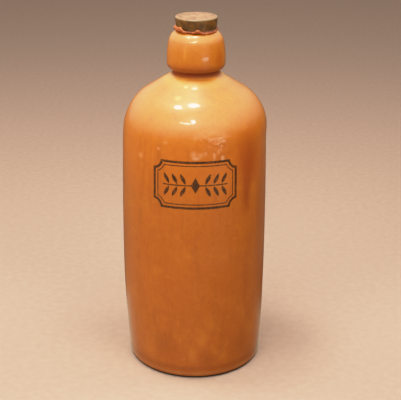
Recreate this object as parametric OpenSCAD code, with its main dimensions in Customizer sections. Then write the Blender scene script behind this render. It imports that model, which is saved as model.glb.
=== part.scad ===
// Upright stoneware hot water bottle, closed by a screw stopper on a rubber sealing ring.
// Millimetres. +Z runs up the bottle's axis, and z = 0 is the surface that it stands on.

/* [Body] */
// Largest diameter of the body
body_d = 112; // [90:1:140]
// Height of the lower curve, from the table up to the largest diameter
heel_h = 92; // [60:1:130]
// How far the lower curve draws in on each side, down to the table
heel_draw = 3.2; // [2:0.1:14]
// Rounding of the bottom edge
foot_edge_r = 2.8; // [1:0.1:8]
// Height of the wall, from the largest diameter up to the shoulder
wall_h = 99.5; // [50:0.5:160]
// How far the wall draws in on each side, up to the shoulder
wall_draw = 1.4; // [0.3:0.1:6]
// Radius of the shoulder's turn
shoulder_r = 36; // [20:1:46]
// Slope of the shoulder's straight stretch, in degrees from level
shoulder_slope = 32; // [20:1:50]

/* [Neck] */
// Clay outside the thread at the waist
waist_wall = 4.9; // [3:0.1:8]
// Radius of the hollow where the shoulder meets the bulb
waist_r = 1.8; // [1:0.1:4]
// Height of the bulb's underside, from the waist to its full width
bulb_low_h = 6.5; // [5:0.5:14]
// Height of the bulb's upright side
bulb_side_h = 3.5; // [1:0.5:10]
// Height of the bulb's upper curve, up to the lip
bulb_top_h = 20.8; // [16:0.1:30]
// How far the bulb swells past the lip's land on each side
bulb_swell = 8; // [7:0.1:10]
// Width of the lip's flat land, which the ring seats on
lip_land = 1; // [0.6:0.1:4]
// Rounding of the lip's outer edge
lip_edge_r = 10.4; // [6:0.1:12]
// Slope at which that edge leaves the land, in degrees
lip_dip = 21; // [15:1:30]

/* [Inside] */
// Thickness of the side wall
wall_t = 6.5; // [4:0.5:10]
// Height of the chamber's floor above the table
floor_t = 8; // [5:0.5:14]
// Radius of the corner between the chamber's wall and floor
floor_r = 12; // [4:1:20]
// Width of the foot ring that the bottle stands on
foot_w = 9; // [4:0.5:20]
// Depth of the hollow inside the foot ring
foot_hollow = 1.5; // [0.5:0.1:3]

/* [Thread] */
// Diameter over the stopper's thread
thread_d = 24; // [18:0.5:32]
// Height of the thread's rib
thread_depth = 1.8; // [1:0.1:2.6]
// Lift of the stopper in one turn
thread_pitch = 6.5; // [5.5:0.1:10]
// Turns of the rib
thread_turns = 3; // [2:0.5:4]
// Width of the rib at its root
thread_root_w = 3.4; // [2.4:0.1:4]
// Width of the rib at its crest
thread_crest_w = 1.8; // [1:0.1:2.2]
// Room between the rib and its groove
thread_clear = 0.5; // [0.3:0.05:0.8]
// Room round the thread in the plain mouth
mouth_clear = 0.9; // [0.6:0.1:2]

/* [Stopper] */
// Height of the head
head_h = 8.3; // [4:0.1:14]
// How far the head's rim stands out past the lip's land
head_over = 1.85; // [0:0.05:4]
// How much narrower the head is at its foot, on each side
head_taper = 0.8; // [0:0.1:2]
// Rounding of the head's upper edge
head_edge_r = 0.8; // [0.3:0.1:2]
// Width of the raised rim on the head's top
head_rim_w = 2.6; // [2.2:0.1:6]
// Depth of the dish inside the rim
head_dish = 0.5; // [0.2:0.1:2]
// Length of the plain collar below the level of the lip
collar_h = 3; // [1:0.1:6]
// How much slimmer the collar is than the thread, on each side
collar_ease = 0.1; // [0:0.05:0.5]
// Length of the plain tip below the thread
tip_l = 2; // [1:0.1:6]
// Chamfer of the tip
tip_chamfer = 1; // [0.3:0.1:1]

/* [Sealing ring] */
// Thickness of the ring
ring_t = 1.5; // [1:0.1:5]
// How far the ring bulges past the lip's land
ring_bulge = 2.9; // [0:0.1:4]
// Room between the ring and the collar
ring_clear = 0.3; // [0.2:0.05:0.6]

/* [Hidden] */
$fn = 96;

// Steps along a long arc, along a tight arc, and along one turn of the thread
arc_steps = 16;
corner_steps = 6;
turn_steps = 36;

// Radii of the thread and of what lies round it
thread_r = thread_d / 2;
core_r = thread_r - thread_depth;
groove_r = thread_r + thread_clear;
bore_r = core_r + thread_clear;
mouth_r = thread_r + mouth_clear;
collar_r = thread_r - collar_ease;
land_r = mouth_r + lip_land;
bulb_r = land_r + bulb_swell;
body_r = body_d / 2;

// Point at a bearing on a unit circle, bearing from one point to another, points along an arc
function dir(a) = [cos(a), sin(a)];
function bearing(p, q) = atan2(q[1] - p[1], q[0] - p[0]);
function arc(c, r, a0, a1, steps, first = 1) =
    [for (i = [first : steps]) c + r * dir(a0 + (a1 - a0) * i / steps)];

// Radius of an arc that leaves the upright and draws in by d over a height h
function draw_r(h, d) = (h * h + d * d) / (2 * d);
// Centre of a corner of radius r that stands on level z and touches the inside of an arc
function corner_c(c, arc_r, r, z) = [c[0] + sqrt((arc_r - r)^2 - (c[1] - z - r)^2), z + r];

// Lower curve, wall and shoulder, each tangent to the next
heel_r = draw_r(heel_h, heel_draw);
heel_c = [body_r - heel_r, heel_h];
wall_r = draw_r(wall_h, wall_draw);
wall_c = [body_r - wall_r, heel_h];
wall_a = asin(wall_h / wall_r);
shoulder_c = wall_c + (wall_r - shoulder_r) * dir(wall_a);
shoulder_a = 90 - shoulder_slope;
shoulder_top = shoulder_c + shoulder_r * dir(shoulder_a);

// Waist: a hollow that touches the shoulder's straight stretch
waist_x = groove_r + waist_wall + waist_r;
waist_rise = (waist_r - (waist_x - shoulder_top[0]) * cos(shoulder_a)) / sin(shoulder_a);
waist_c = [waist_x, shoulder_top[1] + waist_rise];

// Bulb: its underside touches the waist's hollow, and its upper curve touches the lip's edge
low_in = bulb_r - waist_x;
low_r = (low_in^2 + bulb_low_h^2 - waist_r^2) / (2 * (waist_r + low_in));
low_c = [bulb_r - low_r, waist_c[1] + bulb_low_h];
side_z = low_c[1] + bulb_side_h;
lip_z = side_z + bulb_top_h;
lip_c = [land_r - lip_edge_r * sin(lip_dip), lip_z - lip_edge_r * cos(lip_dip)];
top_in = bulb_r - lip_c[0];
top_h = lip_c[1] - side_z;
top_r = (top_in^2 + top_h^2 - lip_edge_r^2) / (2 * (top_in - lip_edge_r));
top_c = [bulb_r - top_r, side_z];

// Foot and chamber
foot_c = corner_c(heel_c, heel_r, foot_edge_r, 0);
foot_in_r = foot_c[0] - foot_w;
floor_c = corner_c(heel_c, heel_r - wall_t, floor_r, floor_t);
dome_top = shoulder_c + (shoulder_r - wall_t) * dir(shoulder_a);
bore_z = dome_top[1] + (dome_top[0] - bore_r) * tan(shoulder_slope);

// Heights of the ring, the head, the mouth and the threaded shank
head_z = lip_z + ring_t;
top_z = head_z + head_h;
collar_z = lip_z - collar_h;
mouth_z = collar_z - thread_clear;
shank_l = thread_turns * thread_pitch + thread_root_w + tip_l;
shank_z = collar_z - shank_l;
thread_z = shank_z + tip_l + thread_root_w / 2;

// Angles of the thread, counted from the rib's lower end
rib_end_a = 360 * thread_turns;
rib_fade_a = 40;
groove_start_a = -60;
// Share of the rib's section that is left at its faded ends, under the skin of the shank
rib_end_share = 0.2;
// How far the rib's section is carried in past the surface that it stands on
rib_root = thread_depth / 3;
groove_end_a = 360 * (mouth_z + thread_root_w + thread_clear - thread_z) / thread_pitch;

// Outside of the bottle, from the middle of its underside up to the lip
function outside() = concat(
    [[0, foot_hollow], [foot_in_r - foot_hollow, foot_hollow], [foot_in_r, 0]],
    arc(foot_c, foot_edge_r, -90, bearing(heel_c, foot_c), corner_steps, 0),
    arc(heel_c, heel_r, bearing(heel_c, foot_c), 0, arc_steps),
    arc(wall_c, wall_r, 0, wall_a, arc_steps),
    arc(shoulder_c, shoulder_r, wall_a, shoulder_a, arc_steps),
    arc(waist_c, waist_r, 180 + shoulder_a, bearing(waist_c, low_c), corner_steps, 0),
    arc(low_c, low_r, bearing(low_c, waist_c), 0, arc_steps),
    arc(top_c, top_r, 0, bearing(top_c, lip_c), arc_steps, 0),
    arc(lip_c, lip_edge_r, bearing(top_c, lip_c), 90 - lip_dip, corner_steps));

// Inside of the bottle, from the mouth down to the middle of the chamber's floor
function inside() = concat(
    [[mouth_r, lip_z], [mouth_r, mouth_z], [bore_r, mouth_z], [bore_r, bore_z]],
    arc(shoulder_c, shoulder_r - wall_t, shoulder_a, wall_a, arc_steps, 0),
    arc(wall_c, wall_r - wall_t, wall_a, 0, arc_steps),
    arc(heel_c, heel_r - wall_t, 0, bearing(heel_c, floor_c), arc_steps),
    arc(floor_c, floor_r, bearing(heel_c, floor_c), -90, corner_steps),
    [[0, floor_t]]);

// Width of the thread's rib at a radius, share of its section at an angle, and corners of that section
function rib_w(r) = thread_root_w + (thread_crest_w - thread_root_w) * (r - core_r) / thread_depth;
function rib_share(a, a0, a1, fade) =
    fade == 0 ? 1 : max(rib_end_share, min(1, (a - a0) / fade, (a1 - a) / fade));
function rib_section(a, r_in, r_out, room) =
    [for (corner = [[r_in, -1], [r_out, -1], [r_out, 1], [r_in, 1]])
        let (r = corner[0], z = thread_z + thread_pitch * a / 360 + corner[1] * (rib_w(r) / 2 + room))
            [r * cos(a), r * sin(a), z]];

// A right-hand helical rib from angle a0 to a1, with room added on both flanks, faded out at its ends
module helix(r_in, r_out, room, a0, a1, fade) {
    steps = ceil((a1 - a0) * turn_steps / 360);
    angles = [for (i = [0 : steps]) a0 + (a1 - a0) * i / steps];
    points = [for (a = angles)
        each rib_section(a, r_in, r_in + (r_out - r_in) * rib_share(a, a0, a1, fade), room)];
    sides = [for (i = [0 : steps - 1], k = [0 : 3])
        let (p = 4 * i + k, q = 4 * i + (k + 1) % 4)
            each [[p, q, p + 4], [q, q + 4, p + 4]]];
    last = 4 * steps;
    ends = [[0, 2, 1], [0, 3, 2], [last, last + 1, last + 2], [last, last + 2, last + 3]];
    polyhedron(points, concat(sides, ends), convexity = 10);
}

// The fired pot, with its water chamber and the groove of the thread in its neck
module bottle() {
    color([0.76, 0.42, 0.16])
    difference() {
        rotate_extrude() polygon(concat(outside(), inside()));
        helix(bore_r - rib_root, groove_r, thread_clear, groove_start_a, groove_end_a, 0);
    }
}

// Flat rubber ring with a full-round outer edge, between the lip and the stopper's head
module sealing_ring() {
    ring_in_r = collar_r + ring_clear;
    edge_c = [land_r + ring_bulge - ring_t / 2, lip_z + ring_t / 2];
    edge = arc(edge_c, ring_t / 2, -90, 90, corner_steps, 0);
    color([0.62, 0.24, 0.12])
    rotate_extrude() polygon(concat([[ring_in_r, lip_z]], edge, [[ring_in_r, head_z]]));
}

// Solid screw stopper: dished head, plain collar and threaded shank
module stopper() {
    head_top_r = land_r + head_over;
    edge_c = [head_top_r - head_edge_r, top_z - head_edge_r];
    dish_r = head_top_r - head_rim_w;
    profile = concat(
        [[0, shank_z], [core_r - tip_chamfer, shank_z], [core_r, shank_z + tip_chamfer], [core_r, collar_z]],
        [[collar_r, collar_z], [collar_r, head_z], [head_top_r - head_taper, head_z]],
        arc(edge_c, head_edge_r, 0, 90, corner_steps, 0),
        [[dish_r, top_z], [dish_r - head_dish, top_z - head_dish], [0, top_z - head_dish]]);
    color([0.38, 0.27, 0.14])
    union() {
        rotate_extrude() polygon(profile);
        helix(core_r - rib_root, thread_r, 0, 0, rib_end_a, rib_fade_a);
    }
}

bottle();
sealing_ring();
stopper();
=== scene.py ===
import math

import bmesh
import bpy
from mathutils import Matrix, Vector, noise


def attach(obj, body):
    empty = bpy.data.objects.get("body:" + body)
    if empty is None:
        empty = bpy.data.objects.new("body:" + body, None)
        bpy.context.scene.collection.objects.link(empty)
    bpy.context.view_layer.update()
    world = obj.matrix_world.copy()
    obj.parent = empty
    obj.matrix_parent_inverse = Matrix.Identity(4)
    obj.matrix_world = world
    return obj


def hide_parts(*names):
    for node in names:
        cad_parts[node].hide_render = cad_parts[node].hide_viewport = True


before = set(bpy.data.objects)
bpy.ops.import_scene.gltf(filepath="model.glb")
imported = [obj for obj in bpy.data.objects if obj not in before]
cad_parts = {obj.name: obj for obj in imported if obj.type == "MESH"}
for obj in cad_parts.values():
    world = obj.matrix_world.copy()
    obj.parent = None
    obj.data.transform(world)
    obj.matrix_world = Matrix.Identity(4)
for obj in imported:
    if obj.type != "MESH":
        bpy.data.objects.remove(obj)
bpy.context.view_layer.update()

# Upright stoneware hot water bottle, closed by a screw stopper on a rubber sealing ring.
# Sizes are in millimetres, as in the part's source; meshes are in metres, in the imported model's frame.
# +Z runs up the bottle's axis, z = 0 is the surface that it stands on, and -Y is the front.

mm = 0.001

# Body
body_r = 56
heel_h = 92
heel_draw = 3.2
foot_edge_r = 2.8
wall_h = 99.5
wall_draw = 1.4
shoulder_r = 36
shoulder_slope = 32

# Neck
waist_wall = 4.9
waist_r = 1.8
bulb_low_h = 6.5
bulb_side_h = 3.5
bulb_top_h = 20.8
bulb_swell = 8
lip_land = 1
lip_edge_r = 10.4
lip_dip = 21

# Inside and foot
wall_t = 6.5
floor_t = 8
floor_r = 12
foot_w = 9
foot_hollow = 1.5

# Thread
thread_r = 12
thread_depth = 1.8
thread_pitch = 6.5
thread_turns = 3
thread_root_w = 3.4
thread_crest_w = 1.8
thread_clear = 0.5
mouth_clear = 0.9

# Stopper and sealing ring
head_h = 8.3
head_over = 1.85
head_taper = 0.8
head_edge_r = 0.8
head_rim_w = 2.6
head_dish = 0.5
collar_h = 3
collar_ease = 0.1
tip_l = 2
tip_chamfer = 1
ring_t = 1.5
ring_bulge = 2.9
ring_clear = 0.3

# Radii that follow from these
core_r = thread_r - thread_depth
groove_r = thread_r + thread_clear
bore_r = core_r + thread_clear
mouth_r = thread_r + mouth_clear
collar_r = thread_r - collar_ease
land_r = mouth_r + lip_land
bulb_r = land_r + bulb_swell


def point_at(centre, radius, angle):
    a = math.radians(angle)
    return (centre[0] + radius * math.cos(a), centre[1] + radius * math.sin(a))


def bearing(p, q):
    return math.degrees(math.atan2(q[1] - p[1], q[0] - p[0]))


def draw_r(h, d):
    """Radius of an arc that leaves the upright and draws in by d over a height h."""
    return (h * h + d * d) / (2 * d)


def corner_c(centre, arc_r, r, z):
    """Centre of a corner of radius r that stands on level z and touches the inside of an arc."""
    return (centre[0] + math.sqrt((arc_r - r) ** 2 - (centre[1] - z - r) ** 2), z + r)


# Lower curve, wall and shoulder, each tangent to the next
heel_r = draw_r(heel_h, heel_draw)
heel_c = (body_r - heel_r, heel_h)
wall_r = draw_r(wall_h, wall_draw)
wall_c = (body_r - wall_r, heel_h)
wall_a = math.degrees(math.asin(wall_h / wall_r))
shoulder_c = point_at(wall_c, wall_r - shoulder_r, wall_a)
shoulder_a = 90 - shoulder_slope
shoulder_top = point_at(shoulder_c, shoulder_r, shoulder_a)

# Waist, bulb and lip
waist_x = groove_r + waist_wall + waist_r
waist_run = (waist_x - shoulder_top[0]) * math.cos(math.radians(shoulder_a))
waist_c = (waist_x, shoulder_top[1] + (waist_r - waist_run) / math.sin(math.radians(shoulder_a)))
low_in = bulb_r - waist_x
low_r = (low_in ** 2 + bulb_low_h ** 2 - waist_r ** 2) / (2 * (waist_r + low_in))
low_c = (bulb_r - low_r, waist_c[1] + bulb_low_h)
side_z = low_c[1] + bulb_side_h
lip_z = side_z + bulb_top_h
lip_c = point_at((land_r, lip_z), -lip_edge_r, 90 - lip_dip)
top_in = bulb_r - lip_c[0]
top_h = lip_c[1] - side_z
top_r = (top_in ** 2 + top_h ** 2 - lip_edge_r ** 2) / (2 * (top_in - lip_edge_r))
top_c = (bulb_r - top_r, side_z)

# Foot, chamber, ring, head and shank
foot_c = corner_c(heel_c, heel_r, foot_edge_r, 0)
foot_in_r = foot_c[0] - foot_w
floor_c = corner_c(heel_c, heel_r - wall_t, floor_r, floor_t)
dome_top = point_at(shoulder_c, shoulder_r - wall_t, shoulder_a)
bore_z = dome_top[1] + (dome_top[0] - bore_r) * math.tan(math.radians(shoulder_slope))
head_z = lip_z + ring_t
top_z = head_z + head_h
head_r = land_r + head_over
collar_z = lip_z - collar_h
mouth_z = collar_z - thread_clear
shank_z = collar_z - thread_turns * thread_pitch - thread_root_w - tip_l
thread_z = shank_z + tip_l + thread_root_w / 2


# Points of an outline that are nearer than this are one point, and smaller radii than this are on the axis
same_point = 0.02
on_axis = 0.01


def arc(centre, radius, start, end, step):
    """Points along an arc of an outline, about a step apart."""
    count = max(4, math.ceil(math.radians(abs(end - start)) * radius / step))
    return [point_at(centre, radius, start + (end - start) * i / count) for i in range(count + 1)]


def eased(points, radius, steps=4):
    """The outline with its inner corners rounded off, as a used mould or a wiped edge leaves them."""
    out = [points[0]]
    for before, corner, after in zip(points, points[1:], points[2:]):
        legs = []
        for end in (before, after):
            reach = math.dist(corner, end)
            share = min(radius, reach / 2) / reach
            legs.append([c + (e - c) * share for c, e in zip(corner, end)])
        for i in range(steps + 1):
            t = i / steps
            out.append(tuple((1 - t) ** 2 * p + 2 * t * (1 - t) * c + t * t * q
                             for p, c, q in zip(legs[0], corner, legs[1])))
    return out + [points[-1]]


def closer(points, step):
    """The outline with long straights split and doubled points dropped."""
    out = [points[0]]
    for p in points[1:]:
        start = out[-1]
        gap = math.dist(start, p)
        if gap < same_point:
            continue
        count = math.ceil(gap / step)
        out += [tuple(s + (e - s) * i / count for s, e in zip(start, p)) for i in range(1, count + 1)]
    return out


def smooth(t):
    t = max(0, min(1, t))
    return t * t * (3 - 2 * t)


def plain(r, z, angle):
    """A true turned surface; the angle is counted from the front, positive to the right."""
    return (r * math.sin(angle), -r * math.cos(angle), z)


def turned(name, stretches, around, hoop=False):
    """A piece turned on the axis: each stretch of its outline is carried round by its own surface rule.
    A hoop is an outline that closes on itself; any other outline starts and ends on the axis."""
    angles = [2 * math.pi * i / around for i in range(around)]
    points = []
    rows = []
    for outline, surface in stretches:
        for r, z in outline:
            places = [surface(r, z, a) for a in angles] if r > on_axis else [surface(0, z, 0)]
            first = len(points)
            points += [tuple(mm * c for c in p) for p in places]
            rows.append([first + i % len(places) for i in range(around)])
    faces = []
    for row, above in zip(rows, rows[1:] + rows[:1] if hoop else rows[1:]):
        for i in range(around):
            k = (i + 1) % around
            face = list(dict.fromkeys((row[i], row[k], above[k], above[i])))
            if len(face) > 2:
                faces.append(face)
    mesh = bpy.data.meshes.new(name)
    mesh.from_pydata(points, [], faces)
    shaped = bmesh.new()
    shaped.from_mesh(mesh)
    bmesh.ops.recalc_face_normals(shaped, faces=shaped.faces)
    for face in shaped.faces:
        face.smooth = True
    shaped.to_mesh(mesh)
    shaped.free()
    piece = bpy.data.objects.new(name, mesh)
    bpy.context.scene.collection.objects.link(piece)
    return piece


# The thread is counted in degrees round the axis from the right side, a quarter turn on from the front:
# where the stopper's rib and the neck's groove start and end, and how far they take to fade
right_side = 90
rib_first = 0
rib_last = 360 * thread_turns
rib_fade = 40
groove_first = -60
groove_last = 360 * (mouth_z + thread_root_w + thread_clear - thread_z) / thread_pitch
groove_fade = 15


def thread_share(z, angle, root_half, crest_half, first, last, fade):
    """How much of the thread's full height stands at a place, from 0 to 1. It climbs right-handed."""
    around = math.degrees(angle) - right_side
    lowest = math.ceil((first - around) / 360)
    highest = math.floor((last - around) / 360)
    turns = (z - thread_z) / thread_pitch - around / 360
    turn = max(lowest, min(highest, round(turns)))
    flank = (root_half - abs(turns - turn) * thread_pitch) / (root_half - crest_half)
    along = around + 360 * turn
    ends = min((along - first) / fade, (last - along) / fade)
    return smooth(flank) * smooth(ends)


# The bottle: jollied and turned by hand, so its wall bows a little to one side and is not quite round
bow = 1.0
bow_low_z = (8, 70)
bow_high_z = (208, 180)
out_of_round = 0.16
out_of_round_turn = 0.7
foot_ease = 0.6
mouth_ease = 0.35
lip_gap = 0.3
bore_top_gap = 0.2
bore_foot_gap = 0.3
thread_step = 0.4
bottle_around = 192


def thrown_skin(r, z, angle):
    """The outer skin of the pot, true at the foot and above the shoulder."""
    rising = smooth((z - bow_low_z[0]) / (bow_low_z[1] - bow_low_z[0]))
    falling = smooth((bow_high_z[0] - z) / (bow_high_z[0] - bow_high_z[1]))
    hand = rising * falling
    x, y, z = plain(r + hand * out_of_round * math.sin(2 * angle + out_of_round_turn), z, angle)
    return (x - bow * hand, y, z)


def neck_bore(r, z, angle):
    """The bore of the neck, with the groove that takes the stopper's thread."""
    lean = (thread_root_w - thread_crest_w) / thread_depth * thread_clear / 2
    root_half = thread_root_w / 2 + thread_clear - lean
    crest_half = thread_crest_w / 2 + thread_clear - lean
    share = thread_share(z, angle, root_half, crest_half, groove_first, groove_last, groove_fade)
    return plain(r + (groove_r - bore_r) * share, z, angle)


def make_bottle():
    """One skin: under the foot, up the outside, in at the mouth, down the bore and round the chamber.
    The last number of each arc is the step between its points."""
    slope_a = 180 + shoulder_a
    lip_a = bearing(top_c, lip_c)
    foot_a = bearing(heel_c, foot_c)
    floor_a = bearing(heel_c, floor_c)
    hollow_r = foot_in_r - foot_hollow
    foot = eased([(0, foot_hollow), (hollow_r, foot_hollow), (foot_in_r, 0), (foot_c[0], 0)], foot_ease)
    outside = (
        foot
        + arc(foot_c, foot_edge_r, -90, foot_a, 0.8)
        + arc(heel_c, heel_r, foot_a, 0, 3)
        + arc(wall_c, wall_r, 0, wall_a, 3)
        + arc(shoulder_c, shoulder_r, wall_a, shoulder_a, 1.5)
        + closer([shoulder_top, point_at(waist_c, waist_r, slope_a)], 1.6)
        + arc(waist_c, waist_r, slope_a, bearing(waist_c, low_c), 0.3)
        + arc(low_c, low_r, bearing(low_c, waist_c), 0, 0.8)
        + arc(top_c, top_r, 0, lip_a, 0.8)
        + arc(lip_c, lip_edge_r, lip_a, 90 - lip_dip, 0.5))
    mouth = eased([(land_r - lip_gap, lip_z), (mouth_r, lip_z), (mouth_r, mouth_z), (bore_r, mouth_z)],
                  mouth_ease)
    bore = closer([(bore_r, mouth_z - bore_top_gap), (bore_r, bore_z + bore_foot_gap)], thread_step)
    chamber = (
        [(bore_r, bore_z)]
        + arc(shoulder_c, shoulder_r - wall_t, shoulder_a, wall_a, 4)
        + arc(wall_c, wall_r - wall_t, wall_a, 0, 8)
        + arc(heel_c, heel_r - wall_t, 0, floor_a, 8)
        + arc(floor_c, floor_r, floor_a, -90, 2)
        + [(0, floor_t)])
    return turned("stoneware_bottle", [
        (closer(outside, 6), thrown_skin),
        (closer(mouth, 3), plain),
        (bore, neck_bore),
        (closer(chamber, 8), plain)], bottle_around)


# The stopper: moulded in hard rubber, with eased edges and a thread that fades at both ends
tip_ease = 0.3
under_ease = 0.35
dish_ease = 0.9
dish_run = 1.2
shank_foot_gap = 0.2
shank_top_gap = 0.1
stopper_around = 144


def threaded_shank(r, z, angle):
    """The core of the shank, with the rib of its thread."""
    share = thread_share(z, angle, thread_root_w / 2, thread_crest_w / 2, rib_first, rib_last, rib_fade)
    return plain(r + thread_depth * share, z, angle)


def make_stopper():
    """From the tip up the shank and the collar, out under the head, and over the rim into the dish."""
    edge_c = (head_r - head_edge_r, top_z - head_edge_r)
    dish_r = head_r - head_rim_w
    dish_z = top_z - head_dish
    shank_foot_z = shank_z + tip_chamfer
    tip = eased([(0, shank_z), (core_r - tip_chamfer, shank_z), (core_r, shank_foot_z)], tip_ease)
    shank = closer([(core_r, shank_foot_z + shank_foot_gap), (core_r, collar_z - shank_top_gap)],
                   thread_step)
    under = eased([(core_r, collar_z), (collar_r, collar_z), (collar_r, head_z),
                   (head_r - head_taper, head_z), edge_c], under_ease)[:-1]
    crown = eased([(edge_c[0], top_z), (dish_r, top_z), (dish_r - dish_run, dish_z), (0, dish_z)], dish_ease)
    head = under + arc(edge_c, head_edge_r, 0, 90, 0.2) + crown
    return turned("screw_stopper", [
        (tip, plain),
        (shank, threaded_shank),
        (closer(head, 1.5), plain)], stopper_around)


# The sealing ring has perished: its free edge is buckled into lumps that creep up the stopper's side.
# Each lump: degrees from the front, rise, flare outward, and half width in degrees
ring_lumps = (
    (-68, 2.7, 0, 12),
    (-46, 2.9, 0.2, 10),
    (-24, 0, -0.6, 9),
    (-11, 0.1, -0.6, 6),
    (3, 1.8, 0.1, 8),
    (24, -1.2, -0.4, 10),
    (46, -0.9, -0.2, 13),
    (78, -0.9, -0.8, 22),
    (112, 0.6, -0.2, 12),
    (140, 2.2, 0.5, 14),
    (172, 0.7, 0.5, 12),
    (-150, 1.9, 0.3, 13),
    (-118, 0.6, 0.5, 12),
    (-90, 1.6, -0.2, 12))
# Where the ring is still gripped and where it is quite free, how much of a lump's rise its underside takes,
# and how far the free edge hangs
ring_grip_gap = 0.05
ring_grip_r = head_r - head_taper + ring_grip_gap
ring_free_r = 16.3
lump_foot = 0.25
ring_droop = 0.2
# Crinkles over the lumps: size and height; the flares come from another layer of the same noise
ring_crinkles = ((3.2, 0.55), (1.5, 0.35))
crinkle_r = 16
flare_layer = Vector((0, 0, 9))
ring_ease = 0.4
ring_around = 256


def perished_edge(r, z, angle):
    """The ring's section, flat where it is gripped and buckled at its free edge."""
    free = smooth((r - ring_grip_r) / (ring_free_r - ring_grip_r))
    rise = 0
    flare = 0
    for centre, up, out, half in ring_lumps:
        off = (math.degrees(angle) - centre + 180) % 360 - 180
        near = math.exp(-(off / half) ** 2)
        rise += up * near
        flare += out * near
    place = Vector((crinkle_r * math.sin(angle), crinkle_r * math.cos(angle), 0))
    for size, depth in ring_crinkles:
        rise += depth * noise.noise(place / size)
        flare += depth * noise.noise(place / size + flare_layer)
    height = (z - lip_z) / ring_t
    lift = rise * (lump_foot + (1 - lump_foot) * height) - ring_droop
    return plain(r + free * flare, z + free * lift, angle)


def make_sealing_ring():
    """A flat washer with a round outer edge, which the lumps then buckle."""
    hole_r = collar_r + ring_clear
    edge_c = (land_r + ring_bulge - ring_t / 2, lip_z + ring_t / 2)
    gripped = eased([(edge_c[0], head_z), (hole_r, head_z), (hole_r, lip_z), (edge_c[0], lip_z)], ring_ease)
    section = closer(gripped + arc(edge_c, ring_t / 2, -90, 90, 0.3), 0.6)
    return turned("rubber_sealing_ring", [(section[:-1], perished_edge)], ring_around, hoop=True)


def paint(tint):
    """A colour from its sRGB hex value, as linear light."""
    parts = [int(tint[i:i + 2], 16) / 255 for i in (1, 3, 5)]
    return [c / 12.92 if c <= 0.04045 else ((c + 0.055) / 1.055) ** 2.4 for c in parts] + [1]


def add_node(tree, kind, inputs=None, stops=None, **settings):
    """Adds a shader node: its settings, its input values or links, and the stops of a ramp."""
    node = tree.nodes.new("ShaderNode" + kind)
    for key, value in settings.items():
        setattr(node, key, value)
    for key, value in (inputs or {}).items():
        if isinstance(value, bpy.types.NodeSocket):
            tree.links.new(value, node.inputs[key])
        else:
            node.inputs[key].default_value = value
    for i, (place, tint) in enumerate(stops or ()):
        bands = node.color_ramp.elements
        band = bands[i] if i < 2 else bands.new(place)
        band.position = place
        band.color = paint(tint)
    return node


def new_finish(name):
    """A bare material and its tree, with the millimetre coordinates of the piece."""
    finish = bpy.data.materials.new(name)
    finish.use_nodes = True
    tree = finish.node_tree
    tree.nodes.clear()
    place = add_node(tree, "TexCoord").outputs["Object"]
    sized = add_node(tree, "VectorMath", {0: place, "Scale": 1 / mm}, operation="SCALE").outputs[0]
    return finish, tree, sized


# Ornament printed under the glaze on the front of the wall: a ticket frame round two leafy sprigs and a
# lozenge
mark_z = 163.3
mark_half_w = 32.5
mark_half_h = 18.5
mark_notch = 6
mark_ink = "#1C0D04"
ink_bleed = 0.25
broad_half = 0.95
thin_inset = 3.7
thin_half = 0.4
stem_reach = 24.5
stem_half = 0.5
leaf_pitch = 6.2
leaf_pairs = 3
leaf_off_stem = 4.8
leaf_lean = 0.45
leaf_half_l = 4.1
leaf_half_w = 1.55
lozenge_half_w = 3.4
lozenge_slope = 0.55

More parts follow.
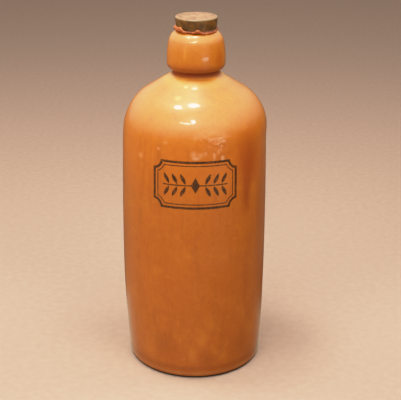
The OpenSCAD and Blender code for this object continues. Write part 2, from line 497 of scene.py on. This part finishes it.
# Sums that draw the ornament, in millimetres: name, operation and terms. Where the last is below zero there
# is ink.
ornament_sums = (
    ("front", "MULTIPLY", "y", -1),
    ("turn", "ARCTAN2", "x", "front"),
    ("across", "MULTIPLY", "turn", body_r),
    ("up", "SUBTRACT", "z", mark_z),
    ("wide", "ABSOLUTE", "across"),
    ("tall", "ABSOLUTE", "up"),
    ("side", "SUBTRACT", "wide", mark_half_w),
    ("end", "SUBTRACT", "tall", mark_half_h),
    ("plate", "MAXIMUM", "side", "end"),
    ("side_squared", "MULTIPLY", "side", "side"),
    ("end_squared", "MULTIPLY", "end", "end"),
    ("corner_squared", "ADD", "side_squared", "end_squared"),
    ("corner", "SQRT", "corner_squared"),
    ("notch", "SUBTRACT", mark_notch, "corner"),
    ("ticket", "MAXIMUM", "plate", "notch"),
    ("broad_in", "ADD", "ticket", broad_half),
    ("broad_off", "ABSOLUTE", "broad_in"),
    ("broad_line", "SUBTRACT", "broad_off", broad_half),
    ("thin_in", "ADD", "ticket", thin_inset),
    ("thin_off", "ABSOLUTE", "thin_in"),
    ("thin_line", "SUBTRACT", "thin_off", thin_half),
    ("stem_end", "SUBTRACT", "wide", stem_reach),
    ("stem_side", "SUBTRACT", "tall", stem_half),
    ("stem", "MAXIMUM", "stem_end", "stem_side"),
    ("leaf_count", "DIVIDE", "wide", leaf_pitch),
    ("leaf_part", "FRACT", "leaf_count"),
    ("leaf_mid", "SUBTRACT", "leaf_part", 0.5),
    ("leaf_off", "MULTIPLY", "leaf_mid", leaf_pitch),
    ("leaf_up", "SUBTRACT", "tall", leaf_off_stem),
    ("leaf_slant", "MULTIPLY", "leaf_up", leaf_lean),
    ("leaf_run", "SUBTRACT", "leaf_off", "leaf_slant"),
    ("leaf_half", "ABSOLUTE", "leaf_run"),
    ("leaf_length", "DIVIDE", "leaf_up", leaf_half_l),
    ("leaf_taper", "MULTIPLY", "leaf_length", "leaf_length"),
    ("leaf_room", "SUBTRACT", "leaf_taper", 1),
    ("leaf_edge", "MULTIPLY", "leaf_room", leaf_half_w),
    ("leaf_shape", "ADD", "leaf_half", "leaf_edge"),
    ("sprig_in", "SUBTRACT", leaf_pitch, "wide"),
    ("sprig_out", "SUBTRACT", "wide", leaf_pitch * (leaf_pairs + 1)),
    ("sprig_reach", "MAXIMUM", "sprig_in", "sprig_out"),
    ("leaf", "MAXIMUM", "leaf_shape", "sprig_reach"),
    ("lozenge_up", "MULTIPLY", "tall", lozenge_slope),
    ("lozenge_sum", "ADD", "wide", "lozenge_up"),
    ("lozenge", "SUBTRACT", "lozenge_sum", lozenge_half_w),
    ("lines", "MINIMUM", "broad_line", "thin_line"),
    ("growth", "MINIMUM", "stem", "leaf"),
    ("drawing", "MINIMUM", "growth", "lozenge"),
    ("drawn", "MINIMUM", "lines", "drawing"),
    ("x_squared", "MULTIPLY", "x", "x"),
    ("y_squared", "MULTIPLY", "y", "y"),
    ("round_squared", "ADD", "x_squared", "y_squared"),
    ("round", "SQRT", "round_squared"),
    ("behind_skin", "SUBTRACT", body_r - wall_t / 2, "round"),
    ("ink_edge", "MAXIMUM", "drawn", "behind_skin"))

# Marks on the glaze, some left by the kiln and some painted light and shade: across from the front, height,
# half width, half height, colour, strength
glaze_marks_and_painted_light = (
    # The flame's long stain at the right
    (45.5, 176, 16, 30, "#8A3404", 0.70),
    (42.6, 153, 6.5, 25, "#82300A", 0.60),
    # Painted shade down the right side of the wall
    (64, 130, 14, 90, "#8A4408", 0.55),
    # A dark band round the foot, and below it a pale line painted as a reflection of the floor
    (0, 9, 400, 3.5, "#7A3A08", 0.40),
    (0, 4.9, 400, 0.9, "#8E6A42", 0.55),
    # Smears above the foot
    (-26, 30, 17, 14, "#74340A", 0.28),
    (12, 18, 9, 10, "#74340A", 0.30),
    (40, 28, 12, 15, "#74340A", 0.22),
    (14, 48, 5, 9, "#BC7622", 0.34),
    (6, 35, 5, 9, "#BC7622", 0.34),
    (-2, 21, 5, 9, "#BC7622", 0.30),
    # Painted reflections: pale wisps and streaks below the shoulder, where a bright light shows in the gloss
    (18.5, 198.4, 5, 1.3, "#CC9060", 0.60),
    (11, 197.8, 4, 0.9, "#CC9060", 0.35),
    (25, 198.9, 4, 0.9, "#CC9060", 0.35),
    (19.4, 192.4, 1.4, 2.2, "#CC9060", 0.50),
    (17.2, 188.4, 1.3, 3.2, "#CC9060", 0.50),
    (-1.5, 187, 3, 3.4, "#CC9060", 0.60),
    (3.4, 186.4, 3, 2.6, "#CC9060", 0.50),
    (7.4, 187.6, 2, 2.6, "#CC9060", 0.50),
    (0.4, 184, 4, 1.8, "#D09A70", 0.75),
    (14, 185, 1.5, 3.6, "#CC9060", 0.75),
    (20.4, 183.2, 2.2, 3.2, "#D09A70", 0.85),
    # A darker patch on the bulb's lower right, then painted shade under the bulb
    (50, 246, 14, 9, "#963E06", 0.55),
    (-8, 240, 60, 6, "#8A3806", 0.55),
    # A dark thin line just below the waist, then painted shade at the waist's right and left ends
    (10, 232.1, 36, 0.7, "#8A3E0A", 0.60),
    (66, 232.5, 22, 1.6, "#8A3E0A", 0.70),
    (-74, 233.5, 20, 1.2, "#8A3E0A", 0.60),
    # A painted highlight along the lower edge of the crease, then a pale streak on the bulb
    (6, 233.5, 20, 0.5, "#D89458", 0.70),
    (-22, 252, 4, 10, "#C8842C", 0.35),
    # Painted highlights on the shoulder: a glow beside a glint, and two small glints near the neck
    (-21, 222.5, 6, 2, "#E8B868", 0.45),
    (-2, 227.8, 5.5, 0.8, "#F4DC9C", 0.75),
    (-16.5, 228.4, 3.5, 0.7, "#F0D088", 0.60),
    # Pale flecks on the wall
    (-23, 194.5, 2.4, 1.8, "#D89058", 0.40),
    (-28.6, 189.3, 2, 2, "#E49A62", 0.65),
    (-45.4, 180.9, 4, 3, "#DC9258", 0.50),
    # Clouds at the back
    (-120, 120, 30, 70, "#823C12", 0.30),
    (110, 150, 26, 60, "#B47034", 0.25),
    (150, 70, 20, 50, "#74340E", 0.30))

# Body colour up the bottle, as a share of the height to the lip. It grows lighter upwards, partly the glaze's
# own tone and partly painted light from above. The pale band at 0.866 to 0.876, on the shoulder just below
# the waist, is a painted sheen.
glaze_and_painted_light_up_the_bottle = (
    (0.0, "#994F0E"),
    (0.12, "#A0550E"),
    (0.35, "#A1560E"),
    (0.55, "#A55A0E"),
    (0.70, "#B6640E"),
    (0.77, "#B2660F"),
    (0.855, "#AC660F"),
    (0.866, "#BC7A22"),
    (0.876, "#BC7A22"),
    (0.884, "#AE660F"),
    (1.0, "#AE660F"))

# Sizes of the glaze's patterns: streaks of the flame and brush marks by width and length, then clouds,
# mottle, grain, the spacing of the iron specks, slow unevenness, folds of sagged glaze and orange peel, and
# the depths of the last three
streak_size = (9, 70)
brush_size = (2.2, 18)
cloud_size = 25
mottle_size = 5
grain_size = 1.5
speck_apart = 7
uneven_size = 14
fold_size = 7
peel_size = 2
uneven_depth = 0.12
fold_depth = 0.9
peel_depth = 0.008
# The streaks fray each mark: they add to the reach, in half sizes, over which it fades
mark_fray = 0.9
mark_fade = (0.5, 1.6)
# Glaze that ran into the waist, and painted shade under the bulb: heights from the waist where the darkening
# is full and gone, below and above
pool_and_shade_below = (-1, -2.6)
pool_and_shade_above = (1.5, 9)
pool_and_shade_strength = 0.85
# Dull grime in the crease: its height above the waist, and how far from there it is full and gone
crease_up = 0.5
crease_far = (1.2, 3.4)
# Where the glaze sagged: place and half size on the wall, and the reach over which it fades
sag_place = (12, 191, 0)
sag_half = (19, 13, 1)
sag_fade = (0.5, 1.1)
# The bare foot: heights over which the glaze starts, and radii over which the clay is soiled dark, with
# painted shade where its edge curves under
bare_z = (2.3, 3.2)
soiled_and_shaded_r = (foot_c[0] - 0.5, foot_c[0] + 1)
clay_roughness = 0.85
coat_weight = 0.6


def salt_glazed_stoneware():
    """Stoneware fired under a clear glassy skin. The clay's warm tan shows through, clouded and streaked by
    the flame; the skin is glossy, faintly pitted like orange peel, and pools dark where it ran into the
    waist. Its colour also holds painted light: shade under the bulb, round the waist and down the right
    side, some of the light from above, and glints, a sheen and reflections on the shoulder, the upper
    wall, the crease and above the foot."""
    finish, tree, sized = new_finish("salt_glazed_stoneware")
    axes = add_node(tree, "SeparateXYZ", {0: sized}).outputs
    known = {"x": axes[0], "y": axes[1], "z": axes[2]}
    for name, operation, *terms in ornament_sums:
        inputs = {i: known.get(term, term) for i, term in enumerate(terms)}
        known[name] = add_node(tree, "Math", inputs, operation=operation).outputs[0]
    on_wall = add_node(tree, "CombineXYZ", {0: known["across"], 1: known["z"]}).outputs[0]

    # Patterns drawn out up the bottle, then the even ones
    patterns = []
    for (width, length), detail, rough in ((streak_size, 3, 0.55), (brush_size, 2, 0.5)):
        drawn = add_node(tree, "VectorMath", {0: sized, 1: (1 / width, 1 / width, 1 / length)},
                         operation="MULTIPLY").outputs[0]
        patterns.append(add_node(
            tree, "TexNoise",
            {"Vector": drawn, "Scale": 1, "Detail": detail, "Roughness": rough}).outputs[0])
    for size, detail, rough in ((cloud_size, 3, 0.6), (mottle_size, 3, 0.7), (grain_size, 2, 0.6)):
        patterns.append(add_node(
            tree, "TexNoise",
            {"Vector": sized, "Scale": 1 / size, "Detail": detail, "Roughness": rough}).outputs[0])
    streaks, brushed, clouds, mottle, grain = patterns

    height = add_node(tree, "Math", {0: known["z"], 1: lip_z}, operation="DIVIDE").outputs[0]
    colour = add_node(tree, "ValToRGB", {0: height}, stops=glaze_and_painted_light_up_the_bottle).outputs[0]
    for pattern, low, high, tint, strength in (
            (streaks, 0.50, 0.80, "#7A380A", 0.28),
            (clouds, 0.50, 0.78, "#BC7414", 0.34),
            (mottle, 0.52, 0.74, "#C07C1C", 0.22),
            (mottle, 0.48, 0.28, "#8A3E08", 0.22),
            (brushed, 0.52, 0.80, "#7A380A", 0.13),
            (brushed, 0.48, 0.22, "#BC7414", 0.13),
            (grain, 0.50, 0.80, "#7A3A0A", 0.30)):
        amount = add_node(tree, "MapRange", {"Value": pattern, 1: low, 2: high, 3: 0, 4: strength},
                          interpolation_type="SMOOTHSTEP").outputs[0]
        colour = add_node(tree, "Mix", {0: amount, 6: colour, 7: paint(tint)}, data_type="RGBA").outputs[2]
    for across, up, half_w, half_h, tint, strength in glaze_marks_and_painted_light:
        off = add_node(tree, "VectorMath", {0: on_wall, 1: (across, up, 0)}, operation="SUBTRACT").outputs[0]
        share = add_node(tree, "VectorMath", {0: off, 1: (half_w, half_h, 1)}, operation="DIVIDE").outputs[0]
        reach = add_node(tree, "VectorMath", {0: share}, operation="LENGTH").outputs["Value"]
        frayed = add_node(tree, "Math", {0: streaks, 1: mark_fray, 2: reach},
                          operation="MULTIPLY_ADD").outputs[0]
        amount = add_node(tree, "MapRange",
                          {"Value": frayed, 1: mark_fade[0], 2: mark_fade[1], 3: strength, 4: 0},
                          interpolation_type="SMOOTHSTEP").outputs[0]
        colour = add_node(tree, "Mix", {0: amount, 6: colour, 7: paint(tint)}, data_type="RGBA").outputs[2]

    # Deep red-brown in the waist, where the glaze ran and pools, with painted shade under the bulb and in the
    # crease; and grime that dulls the crease
    from_waist = add_node(tree, "Math", {0: known["z"], 1: waist_c[1]}, operation="SUBTRACT").outputs[0]
    below, above = [
        add_node(tree, "MapRange", {"Value": from_waist, 1: full, 2: gone, 3: pool_and_shade_strength, 4: 0},
                 interpolation_type="SMOOTHSTEP").outputs[0] for full, gone in (pool_and_shade_below, pool_and_shade_above)]
    pooled_and_shaded = add_node(tree, "Math", {0: below, 1: above}, operation="MINIMUM").outputs[0]
    colour = add_node(tree, "Mix", {0: pooled_and_shaded, 6: colour, 7: paint("#662205")}, data_type="RGBA").outputs[2]
    off_crease = add_node(tree, "Math", {0: from_waist, 1: crease_up}, operation="SUBTRACT").outputs[0]
    far = add_node(tree, "Math", {0: off_crease}, operation="ABSOLUTE").outputs[0]
    grimy = add_node(tree, "MapRange", {"Value": far, 1: crease_far[0], 2: crease_far[1], 3: 1, 4: 0},
                     interpolation_type="SMOOTHSTEP").outputs[0]

    # Iron specks, drawn 1 mm across so that they show
    specks = add_node(tree, "TexVoronoi", {"Vector": sized, "Scale": 1 / speck_apart}).outputs["Distance"]
    speck = add_node(tree, "MapRange", {"Value": specks, 1: 0.05, 2: 0.09, 3: 0.5, 4: 0}).outputs[0]
    colour = add_node(tree, "Mix", {0: speck, 6: colour, 7: paint("#552508")}, data_type="RGBA").outputs[2]

    # The printed ornament, a little thin where the print took badly
    took = add_node(tree, "MapRange", {"Value": grain, 1: 0.3, 2: 0.5, 3: 0.62, 4: 0.94}).outputs[0]
    ink = add_node(tree, "MapRange",
                   {"Value": known["ink_edge"], 1: -ink_bleed, 2: ink_bleed, 3: took, 4: 0},
                   interpolation_type="SMOOTHSTEP").outputs[0]
    colour = add_node(tree, "Mix", {0: ink, 6: colour, 7: paint(mark_ink)}, data_type="RGBA").outputs[2]

    # The foot was wiped clean of glaze: buff clay underneath, soiled dark along its outer edge, where the
    # dark is also painted shade as the edge curves under
    bare = add_node(tree, "MapRange",
                    {"Value": known["z"], 1: bare_z[0], 2: bare_z[1], 3: 1, 4: 0}).outputs[0]
    outer = add_node(tree, "MapRange",
                     {"Value": known["round"], 1: soiled_and_shaded_r[0], 2: soiled_and_shaded_r[1], 3: 0, 4: 1}).outputs[0]
    clay = add_node(tree, "Mix", {0: outer, 6: paint("#A98763"), 7: paint("#241206")},
                    data_type="RGBA").outputs[2]
    colour = add_node(tree, "Mix", {0: bare, 6: colour, 7: clay}, data_type="RGBA").outputs[2]

    # Under the glassy coat the glaze is satin, and where it is bare or grimy there is no coat
    satin = add_node(tree, "MapRange", {"Value": clouds, 1: 0.3, 2: 0.7, 3: 0.34, 4: 0.44}).outputs[0]
    dull = add_node(tree, "Math", {0: bare, 1: grimy}, operation="MAXIMUM").outputs[0]
    roughness = add_node(tree, "Mix", {0: dull, 2: satin, 3: clay_roughness}).outputs[0]
    glassy = add_node(tree, "MapRange", {"Value": dull, 1: 0, 2: 1, 3: coat_weight, 4: 0}).outputs[0]

    # Relief, from the slowest to the finest: unevenness, folds where the glaze sagged, and orange peel
    off = add_node(tree, "VectorMath", {0: on_wall, 1: sag_place}, operation="SUBTRACT").outputs[0]
    share = add_node(tree, "VectorMath", {0: off, 1: sag_half}, operation="DIVIDE").outputs[0]
    reach = add_node(tree, "VectorMath", {0: share}, operation="LENGTH").outputs["Value"]
    sagged = add_node(tree, "MapRange", {"Value": reach, 1: sag_fade[0], 2: sag_fade[1], 3: 1, 4: 0},
                      interpolation_type="SMOOTHSTEP").outputs[0]
    uneven, folds, peel = [
        add_node(tree, "TexNoise", {"Vector": sized, "Scale": 1 / size, "Detail": detail}).outputs[0]
        for size, detail in ((uneven_size, 1), (fold_size, 2), (peel_size, 1))]
    wrinkle = add_node(tree, "Math", {0: folds, 1: sagged}, operation="MULTIPLY").outputs[0]
    slow = add_node(tree, "Bump", {"Strength": 1, "Distance": uneven_depth * mm,
                                   "Height": uneven}).outputs[0]
    rippled = add_node(tree, "Bump", {"Strength": 1, "Distance": fold_depth * mm, "Height": wrinkle,
                                      "Normal": slow}).outputs[0]
    skin = add_node(tree, "Bump", {"Strength": 1, "Distance": peel_depth * mm, "Height": peel,
                                   "Normal": rippled}).outputs[0]
    glaze = add_node(tree, "BsdfPrincipled",
                     {"Base Color": colour, "Roughness": roughness, "IOR": 1.5, "Normal": skin,
                      "Coat Weight": glassy, "Coat Roughness": 0.07, "Coat IOR": 1.5, "Coat Normal": skin})
    add_node(tree, "OutputMaterial", {"Surface": glaze.outputs[0]})
    return finish


# Sizes of the vulcanite's blotches and flecks, the depth of its pits, where it has faded, and where its rim
# has a paler line, worn and with a painted highlight
blotch_size = 5
fleck_size = 1.2
pit_depth = 0.05
faded_z = (head_z + 1, head_z + 2)
rim_z = (top_z - 1.4, top_z - 0.3)


def faded_vulcanite():
    """Hard rubber, moulded and then faded by light: olive-brown and dull on the side, chalky tan on top,
    with a paler line along the rim, partly wear and partly a painted highlight on its rounded edge."""
    finish, tree, sized = new_finish("faded_vulcanite")
    z = add_node(tree, "SeparateXYZ", {0: sized}).outputs[2]
    facing = add_node(tree, "TexCoord").outputs["Normal"]
    upward = add_node(tree, "SeparateXYZ", {0: facing}).outputs[2]
    blotch = add_node(tree, "TexNoise", {"Vector": sized, "Scale": 1 / blotch_size, "Detail": 4,
                                         "Roughness": 0.65}).outputs[0]
    fleck = add_node(tree, "TexNoise", {"Vector": sized, "Scale": 1 / fleck_size, "Detail": 2}).outputs[0]
    side = add_node(tree, "ValToRGB", {0: blotch}, stops=((0.38, "#38240E"), (0.64, "#6C4616"))).outputs[0]
    chalk = add_node(tree, "ValToRGB", {0: blotch}, stops=((0.36, "#5A3C2A"), (0.66, "#96705A"))).outputs[0]
    turned_up = add_node(tree, "MapRange", {"Value": upward, 1: 0.93, 2: 0.995, 3: 0, 4: 1},
                         interpolation_type="SMOOTHSTEP").outputs[0]
    high = add_node(tree, "MapRange", {"Value": z, 1: faded_z[0], 2: faded_z[1], 3: 0, 4: 1}).outputs[0]
    faded = add_node(tree, "Math", {0: turned_up, 1: high}, operation="MULTIPLY").outputs[0]
    # The rim's paler line: wear, and a painted highlight along the rounded edge
    rim = add_node(tree, "MapRange", {"Value": z, 1: rim_z[0], 2: rim_z[1], 3: 0, 4: 0.7}).outputs[0]
    colour = add_node(tree, "Mix", {0: rim, 6: side, 7: paint("#5E4E30")}, data_type="RGBA").outputs[2]
    colour = add_node(tree, "Mix", {0: faded, 6: colour, 7: chalk}, data_type="RGBA").outputs[2]
    roughness = add_node(tree, "MapRange", {"Value": faded, 1: 0, 2: 1, 3: 0.38, 4: 0.62}).outputs[0]
    pits = add_node(tree, "Bump", {"Strength": 1, "Distance": pit_depth * mm, "Height": fleck}).outputs[0]
    rubber = add_node(tree, "BsdfPrincipled",
                      {"Base Color": colour, "Roughness": roughness, "IOR": 1.6, "Normal": pits})
    add_node(tree, "OutputMaterial", {"Surface": rubber.outputs[0]})
    return finish


# Sizes of the red rubber's dry patches and crazing, the depth and share of its cracks, the heights over which
# its lumps grow lighter, and the radii over which its darkening against the stopper ends
dry_size = 3
crazing_size = 1.6
crazing_depth = 1.2
crack_share = 0.12
lighter_lumps_z = (head_z - 0.4, head_z + 1.8)
dark_by_stopper_r = (15.3, 16.2)


def perished_red_rubber():
    """Soft red rubber, moulded flat, that has perished: dull, dry and crazed, dark in its cracks and against
    the stopper, and lighter towards the tops of its lumps."""
    finish, tree, sized = new_finish("perished_red_rubber")
    z = add_node(tree, "SeparateXYZ", {0: sized}).outputs[2]
    level = add_node(tree, "VectorMath", {0: sized, 1: (1, 1, 0)}, operation="MULTIPLY").outputs[0]
    out = add_node(tree, "VectorMath", {0: level}, operation="LENGTH").outputs["Value"]
    dry = add_node(tree, "TexNoise", {"Vector": sized, "Scale": 1 / dry_size, "Detail": 4,
                                      "Roughness": 0.7}).outputs[0]
    colour = add_node(tree, "ValToRGB", {0: dry},
                      stops=((0.3, "#6A2408"), (0.7, "#C27844"), (0.52, "#9C4A1C"))).outputs[0]
    crazing = add_node(tree, "TexVoronoi", {"Vector": sized, "Scale": 1 / crazing_size},
                       feature="DISTANCE_TO_EDGE").outputs[0]
    crack = add_node(tree, "MapRange", {"Value": crazing, 1: 0, 2: 0.1, 3: 0.6, 4: 0}).outputs[0]
    # Lighter towards the tops of its lumps, and darker against the stopper
    lighter_lumps = add_node(tree, "MapRange",
                        {"Value": z, 1: lighter_lumps_z[0], 2: lighter_lumps_z[1], 3: 0, 4: 0.5}).outputs[0]
    dark_by_stopper = add_node(tree, "MapRange",
                     {"Value": out, 1: dark_by_stopper_r[0], 2: dark_by_stopper_r[1], 3: 0.85, 4: 0}).outputs[0]
    for amount, tint in ((crack, "#3E1206"), (lighter_lumps, "#C07A4C"), (dark_by_stopper, "#2E1608")):
        colour = add_node(tree, "Mix", {0: amount, 6: colour, 7: paint(tint)}, data_type="RGBA").outputs[2]
    depth = add_node(tree, "Math", {0: crazing, 1: crack_share}, operation="MINIMUM").outputs[0]
    cracked = add_node(tree, "Bump", {"Strength": 0.8, "Distance": crazing_depth * mm,
                                      "Height": depth}).outputs[0]
    rubber = add_node(tree, "BsdfPrincipled",
                      {"Base Color": colour, "Roughness": 0.68, "IOR": 1.52, "Normal": cracked})
    add_node(tree, "OutputMaterial", {"Surface": rubber.outputs[0]})
    return finish


# Size of the marks that the roller left on the floor
roller_size = 6


def matt_painted_floor():
    """A board rolled with pale warm matt paint: it takes the soft shadow and gives back a little light."""
    finish, tree, sized = new_finish("matt_painted_floor")
    rolled = add_node(tree, "TexNoise", {"Vector": sized, "Scale": 1 / roller_size, "Detail": 2}).outputs[0]
    colour = add_node(tree, "ValToRGB", {0: rolled}, stops=((0.3, "#B39E92"), (0.7, "#B9A498"))).outputs[0]
    coat = add_node(tree, "BsdfPrincipled",
                    {"Base Color": colour, "Roughness": 0.8, "Specular IOR Level": 0})
    add_node(tree, "OutputMaterial", {"Surface": coat.outputs[0]})
    return finish


# Camera: fitted to the outline, the top of the stopper and the foot, for an image of 401 x 400. The focal
# length and the places in the image are in pixels, the height and the roll in degrees.
image_w = 401
image_h = 400
focal_px = 1004.26
camera_away = 787.29
camera_up = 21.77
aim_z = 135
axis_column = 195.45
aim_row = 194
camera_roll = 0.3

camera_data = bpy.data.cameras.new("photo_camera")
camera_data.sensor_width = 36
camera_data.lens = camera_data.sensor_width * focal_px / image_w
camera_data.shift_x = (image_w / 2 - axis_column) / image_w
camera_data.shift_y = (aim_row - image_h / 2) / image_w
camera_data.clip_start = 0.05
camera_data.clip_end = 60
camera = bpy.data.objects.new("photo_camera", camera_data)
bpy.context.scene.collection.objects.link(camera)
bpy.context.scene.camera = camera
tilt = math.radians(camera_up)
aim = Vector((0, 0, aim_z * mm))
back = Vector((0, -math.cos(tilt), math.sin(tilt)))
camera.matrix_world = (
    Matrix.Translation(aim + back * camera_away * mm)
    @ back.to_track_quat("Z", "Y").to_matrix().to_4x4()
    @ Matrix.Rotation(math.radians(camera_roll), 4, "Z"))

# The pieces, each riding on its own body
glaze = salt_glazed_stoneware()
vulcanite = faded_vulcanite()
red_rubber = perished_red_rubber()
for make, finish, body, node, slot in (
        (make_bottle, glaze, "bottle", "bottle", "glazed_stoneware"),
        (make_sealing_ring, red_rubber, "seal", "sealing_ring", "red_rubber"),
        (make_stopper, vulcanite, "stopper", "stopper", "vulcanite")):
    piece = make()
    piece.data.materials.append(finish)
    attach(piece, body)
    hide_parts(node)

# Floor: half its width, in metres
floor_half = 14
floor_mesh = bpy.data.meshes.new("studio_floor")
floor_corners = [(x * floor_half, y * floor_half, 0) for x, y in ((-1, -1), (1, -1), (1, 1), (-1, 1))]
floor_mesh.from_pydata(floor_corners, [], [(0, 1, 2, 3)])
studio_floor = bpy.data.objects.new("studio_floor", floor_mesh)
studio_floor.data.materials.append(matt_painted_floor())
bpy.context.scene.collection.objects.link(studio_floor)
studio_floor.visible_glossy = False

# Studio light, aimed at the shoulder. The matt colours and the gloss are lit apart, as with cards and flags
# in a studio: some lamps light the colours and cast the shadow, and the others show only in the gloss, as
# glints. Each: bearing from the front and height in degrees, distance, width and depth in metres, radiance,
# and whether it is for the gloss
lit_point = Vector((0, -0.04, 0.205))
lamp_colour = "#FFEFDD"
studio_lamps = (
    ("soft_key", -48, 18, 1.3, 0.8, 0.8, 7.5, False),
    ("soft_fill", 44, 32, 1.3, 0.8, 0.8, 5.2, False),
    ("left_fill", -105, 12, 1.0, 0.5, 0.5, 3.0, False),
    ("left_rim", -115, 50, 0.8, 0.4, 0.4, 3.5, False),
    ("right_rim", 105, 42, 0.8, 0.4, 0.4, 6.2, False),
    ("top_fill", 0, 84, 0.45, 0.4, 0.4, 3.7, False),
    ("high_light", -105, 79, 0.6, 0.16, 0.13, 40, False),
    ("front_light", -12, 48, 0.6, 0.17, 0.06, 30, False),
    ("left_glint", -80, 69, 0.6, 0.11, 0.095, 44, True),
    ("over_glint", -63, 87.4, 0.6, 0.12, 0.13, 50, True),
    ("low_glint", -5, 46.2, 0.6, 0.065, 0.09, 60, True),
    ("low_tail", -20, 41.6, 0.6, 0.22, 0.02, 50, True),
    ("back_card", -140, 10, 0.8, 0.7, 0.35, 0.35, True),
    ("side_card", 38, -3, 0.55, 0.26, 0.06, 7, True))
for name, bearing_deg, height_deg, away, width, depth, radiance, glossy in studio_lamps:
    lamp = bpy.data.lights.new(name, "AREA")
    lamp.shape = "ELLIPSE"
    lamp.size = width
    lamp.size_y = depth
    lamp_area = width * depth * math.pi / 4
    lamp.energy = radiance * math.pi * lamp_area
    lamp.color = paint(lamp_colour)[:3]
    turn = math.radians(bearing_deg)
    rise = math.radians(height_deg)
    towards = Vector((math.sin(turn) * math.cos(rise), -math.cos(turn) * math.cos(rise), math.sin(rise)))
    stand = bpy.data.objects.new(name, lamp)
    stand.location = lit_point + towards * away
    stand.rotation_mode = "QUATERNION"
    stand.rotation_quaternion = towards.to_track_quat("Z", "Y")
    stand.visible_camera = False
    stand.visible_glossy = glossy
    stand.visible_diffuse = not glossy
    bpy.context.scene.collection.objects.link(stand)

# A pale tent round the set, which only the gloss sees. It brightens from eye level up to the height
# tent_full, more at the front and left than at the back and right, and most in a wide patch overhead.
# tent_eye stands square on the plane of eye level, which lies lower at the back.
tent_colour = "#FFFBD6"
tent_low = 0.25
tent_eye = (-0.04, 0.12, 1)
tent_full = 0.55
tent_rise = 5.1
tent_lean = (-0.4, -2.6, 0)
# Towards a side it is darker or brighter by a level that goes with height: way, share where it starts and
# is full, two heights, and the levels at and beyond them
tent_sides = (
    ((0, 1, 0), 0.4, 0.9, (-0.462, -0.487), (-0.15, 0.45)),
    ((0, 1, 0), 0.4, 0.9, (0, -0.1), (-0.1, 0)),
    ((1, 0, 0), 0.6, 0.9, (-0.40, -0.44), (-0.20, 0)),
    ((1, 0, 0), 0.05, 0.4, (-0.42, -0.45), (0, -0.15)))
patch_way = (-0.28, 0.20, 0.94)
patch_edge = 0.85
patch_radiance = 1.6
air_colour = "#FFF0E2"
air_radiance = 0.42
world = bpy.data.worlds.new("studio_tent")
world.use_nodes = True
tree = world.node_tree
tree.nodes.clear()
facing = add_node(tree, "TexCoord").outputs["Generated"]
height = add_node(tree, "SeparateXYZ", {0: facing}).outputs[2]
risen, lean, near_patch = [
    add_node(tree, "VectorMath", {0: facing, 1: way}, operation="DOT_PRODUCT").outputs["Value"]
    for way in (tent_eye, tent_lean, patch_way)]
above = add_node(tree, "MapRange", {"Value": risen, 1: 0, 2: tent_full, 3: 0, 4: tent_full}).outputs[0]
slope = add_node(tree, "Math", {0: lean, 1: tent_rise}, operation="ADD").outputs[0]
roof = add_node(tree, "Math", {0: above, 1: slope, 2: tent_low}, operation="MULTIPLY_ADD").outputs[0]
patch = add_node(tree, "MapRange", {"Value": near_patch, 1: patch_edge, 2: 1, 3: 0, 4: patch_radiance},
                 interpolation_type="SMOOTHSTEP").outputs[0]
tent = add_node(tree, "Math", {0: roof, 1: patch}, operation="ADD").outputs[0]
for way, start, full, (upper, lower), (upper_level, lower_level) in tent_sides:
    towards = add_node(tree, "VectorMath", {0: facing, 1: way}, operation="DOT_PRODUCT").outputs["Value"]
    level = add_node(tree, "MapRange",
                     {"Value": height, 1: upper, 2: lower, 3: upper_level, 4: lower_level}).outputs[0]
    side = add_node(tree, "MapRange", {"Value": towards, 1: start, 2: full, 3: 0, 4: level}).outputs[0]
    tent = add_node(tree, "Math", {0: tent, 1: side}, operation="ADD").outputs[0]
in_gloss = add_node(tree, "LightPath").outputs["Is Glossy Ray"]
strength = add_node(tree, "Mix", {0: in_gloss, 2: air_radiance, 3: tent}).outputs[0]
colour = add_node(tree, "Mix", {0: in_gloss, 6: paint(air_colour), 7: paint(tent_colour)},
                  data_type="RGBA").outputs[2]
air = add_node(tree, "Background", {"Color": colour, "Strength": strength})
add_node(tree, "OutputWorld", {"Surface": air.outputs[0]})
bpy.context.scene.world = world

# The film's response: straight up to the middle tones, then a soft roll-off that keeps bright glaze golden.
# Each point: share of the brightest light that the film takes, and the tone that it gives
film_white = 2
film_points = ((0.15, 0.3), (0.3, 0.6), (0.4, 0.745), (0.5, 0.82), (0.65, 0.88))
film_end = (1, 0.95)
film = bpy.context.scene.view_settings
film.view_transform = "Standard"
film.use_curve_mapping = True
response = film.curve_mapping
response.white_level = (film_white, film_white, film_white)
for place, level in film_points:
    response.curves[3].points.new(place, level)
response.curves[3].points[-1].location = film_end
response.update()
